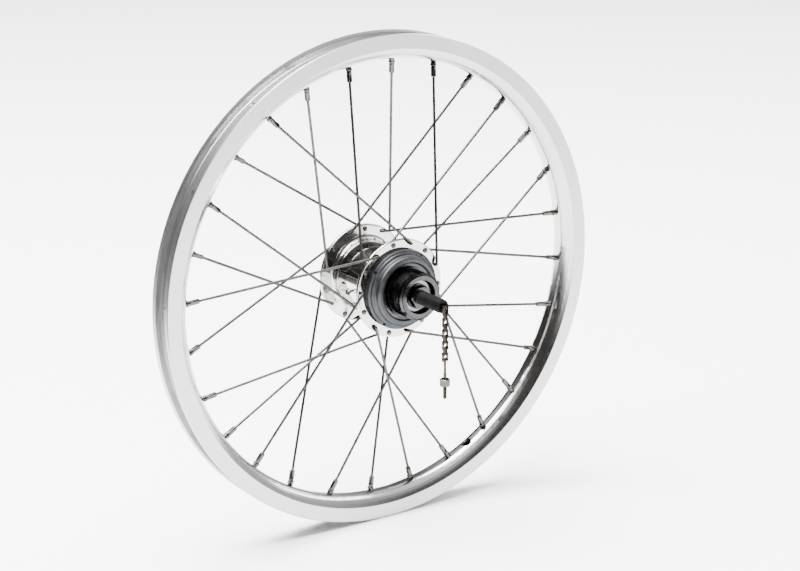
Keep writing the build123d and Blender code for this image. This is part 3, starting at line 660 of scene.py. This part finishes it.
def plate(bm, x, top):
    """Figure-eight side plate with rounded edges."""
    outline = []
    steps = 12
    for centre, turn, side in ((0.0, 0.0, -1), (-LINK_PITCH, math.pi, 1)):
        for i in range(steps + 1):
            angle = turn + math.pi * i / steps
            outline.append((PLATE_END_R * math.cos(angle), centre + PLATE_END_R * math.sin(angle)))
        outline.append((side * PLATE_WAIST, -LINK_PITCH / 2))
    half_pitch = LINK_PITCH / 2
    middle = Vector((x, CHAIN_Y, top - half_pitch))
    half, inner = PLATE_THICK / 2, PLATE_THICK / 2 - PLATE_EDGE
    small = 1 - PLATE_EDGE / PLATE_END_R
    loops = []
    for dx, size in ((-half, small), (-inner, 1), (inner, 1), (half, small)):
        loops.append([(middle + Vector((dx, y * size, (z + half_pitch) * size))) * MM for y, z in outline])
    skin(bm, loops)


def pin(bm, z):
    """Rivet with slightly domed ends."""
    length, end_r = 2 * PIN_HALF, PIN_R * 0.55
    profile = [(0, end_r), (PIN_DOME, PIN_R), (length - PIN_DOME, PIN_R), (length, end_r)]
    lathe(bm, Vector((-PIN_HALF, CHAIN_Y, z)) * MM, ACROSS, scaled(profile), 20)


def eye(bm, z):
    """Flat eye that a pin passes through."""
    half, rim = EYE_THICK / 2, EYE_R - EYE_EDGE
    profile = [(-half, rim), (-half + EYE_EDGE, EYE_R), (half - EYE_EDGE, EYE_R), (half, rim),
               (half, EYE_HOLE_R), (-half, EYE_HOLE_R)]
    ring_lathe(bm, scaled(profile), 28, Vector((0, CHAIN_Y, z)) * MM, ACROSS)


def make_chain():
    for index in range(LINKS):
        number = index + 1
        top = -index * LINK_PITCH
        outer = index % 2 == 0
        bm = bmesh.new()
        for x in ((OUTER_PLATE_X, -OUTER_PLATE_X) if outer else (INNER_PLATE_X, -INNER_PLATE_X)):
            plate(bm, x, top)
        if outer:
            pin(bm, top)
            pin(bm, top - LINK_PITCH)
        else:
            web = [(0, WEB_R), (2 * WEB_HALF, WEB_R)]
            lathe(bm, Vector((-WEB_HALF, CHAIN_Y, top - LINK_PITCH / 2)) * MM, ACROSS, scaled(web), 16)
        new_piece(f"chain_link_{number}_plates", bm, "chain_steel", f"chain_{number}", f"chain_link_{number}")


# ---------------------------------------------------------------- chain end, its nut and the rod
# Distances along the chain end are measured down from its eye.
STEM = ((1.0, 0.5), (1.3, 0.95), (9.6, 0.95), (9.6, 1.05), (9.75, 1.2),
        (14.2, 1.2), (14.2, 0.95), (15.3, 0.95))
SCREW_R, SCREW_FROM, SCREW_TO = 1.45, 15.2, 28.4
SCREW_PITCH, SCREW_DEPTH, SCREW_ROWS = 0.45, 0.16, 250
PLAIN_BELOW_R, PLAIN_FROM = 1.4, 28.0
RELIEF_R, RELIEF_FROM, RELIEF_TO = 1.05, 19.9, 20.7
NUT_FROM, NUT_LENGTH, NUT_R, NUT_FACE_R, NUT_BORE_R = 14.4, 5.4, 3.6, 3.2, 1.6
KNURL_TEETH, KNURL_LEAD, KNURL_DEPTH, KNURL_RISE, KNURL_ROWS = 36, 1.7, 0.11, 0.09, 18
ROD = ((0.9, 0.5), (1.2, 0.95), (2.6, 1.1), (3.4, 1.5), (63.0, 1.5), (64.0, 0.9), (65.8, 0.9))


def screw_thread(along, angle, radius):
    """Helical V cut into the screw's full-size stretch."""
    if radius <= PLAIN_BELOW_R * MM or along >= PLAIN_FROM * MM:
        return radius
    phase = (along / MM / SCREW_PITCH - angle / TAU) % 1.0
    return radius - SCREW_DEPTH * MM * abs(2 * phase - 1)


def make_chain_screw():
    bm = bmesh.new()
    eye(bm, CHAIN_BOTTOM)
    origin = Vector((0, CHAIN_Y, CHAIN_BOTTOM)) * MM
    lathe(bm, origin, DOWN, scaled(STEM), 24)
    profile = []
    for row in range(SCREW_ROWS + 1):
        along = SCREW_FROM + (SCREW_TO - SCREW_FROM) * row / SCREW_ROWS
        profile.append((along, RELIEF_R if RELIEF_FROM < along < RELIEF_TO else SCREW_R))
    for angle in (0.4, 0.8, 1.2, 1.45):
        profile.append((SCREW_TO + SCREW_R * math.sin(angle), SCREW_R * math.cos(angle)))
    lathe(bm, origin, DOWN, scaled(profile), 32, screw_thread)
    new_piece("chain_end_screw", bm, "chain_steel", "chain_end", "chain_end_rod")


def knurl(along, angle, radius):
    """Diamond knurling on the nut's rim, none on its faces."""
    if radius < (NUT_R - 0.1) * MM:
        return radius
    around, lead = KNURL_TEETH / 2 * angle, along / MM * KNURL_LEAD
    wave = abs(math.sin(around + lead)) + abs(math.sin(around - lead))
    return radius - KNURL_DEPTH * MM + KNURL_RISE * MM * wave


def make_chain_nut():
    bm = bmesh.new()
    chamfer, rim_from = 0.3, 0.4
    rim_length = NUT_LENGTH - 2 * rim_from
    outline = [(0.0, NUT_BORE_R), (0.0, NUT_FACE_R), (chamfer, NUT_R)]
    outline += [(rim_from + rim_length * i / KNURL_ROWS, NUT_R) for i in range(KNURL_ROWS + 1)]
    outline += [(NUT_LENGTH - chamfer, NUT_R), (NUT_LENGTH, NUT_FACE_R), (NUT_LENGTH, NUT_BORE_R)]
    top = Vector((0, CHAIN_Y, CHAIN_BOTTOM - NUT_FROM)) * MM
    lathe(bm, top, DOWN, scaled(outline), 144, knurl, False)
    new_piece("chain_nut_knurled", bm, "nickel", "chain_end", "chain_locknut")


def make_indicator_rod():
    bm = bmesh.new()
    eye(bm, 0.0)
    lathe(bm, Vector((0, CHAIN_Y, 0)) * MM, Vector((0, 1, 0)), scaled(ROD), 24)
    new_piece("indicator_stem", bm, "plated_steel", "indicator", "indicator_rod")


# ---------------------------------------------------------------- clutch spring
SPRING_R = 7.3
SPRING_WIRE_R = 0.5
SPRING_COILS = 4
SPRING_FROM, SPRING_TO = -34.4, -25.1


def make_clutch_spring():
    """Coil between its cap and the clutch, built at one fixed length; the real spring shortens as the
    indicator rod is drawn out.
    """
    steps = 48 * SPRING_COILS
    path = []
    for i in range(steps + 1):
        angle = TAU * SPRING_COILS * i / steps
        y = SPRING_FROM + (SPRING_TO - SPRING_FROM) * i / steps
        path.append(Vector((SPRING_R * math.cos(angle), y, -SPRING_R * math.sin(angle))) * MM)
    bm = bmesh.new()
    tube(bm, path, SPRING_WIRE_R * MM, 12)
    coil = new_piece("clutch_spring_coil", bm, "spring_steel", "axle_assembly", "clutch_spring")
    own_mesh(coil)


make_camera()
make_floor()
make_world()
make_dark_card()
make_lights()
MATERIALS = make_materials()
dress_nodes(MATERIALS)
make_lacing()
make_axle()
make_chain()
make_chain_screw()
make_chain_nut()
make_indicator_rod()
make_clutch_spring()
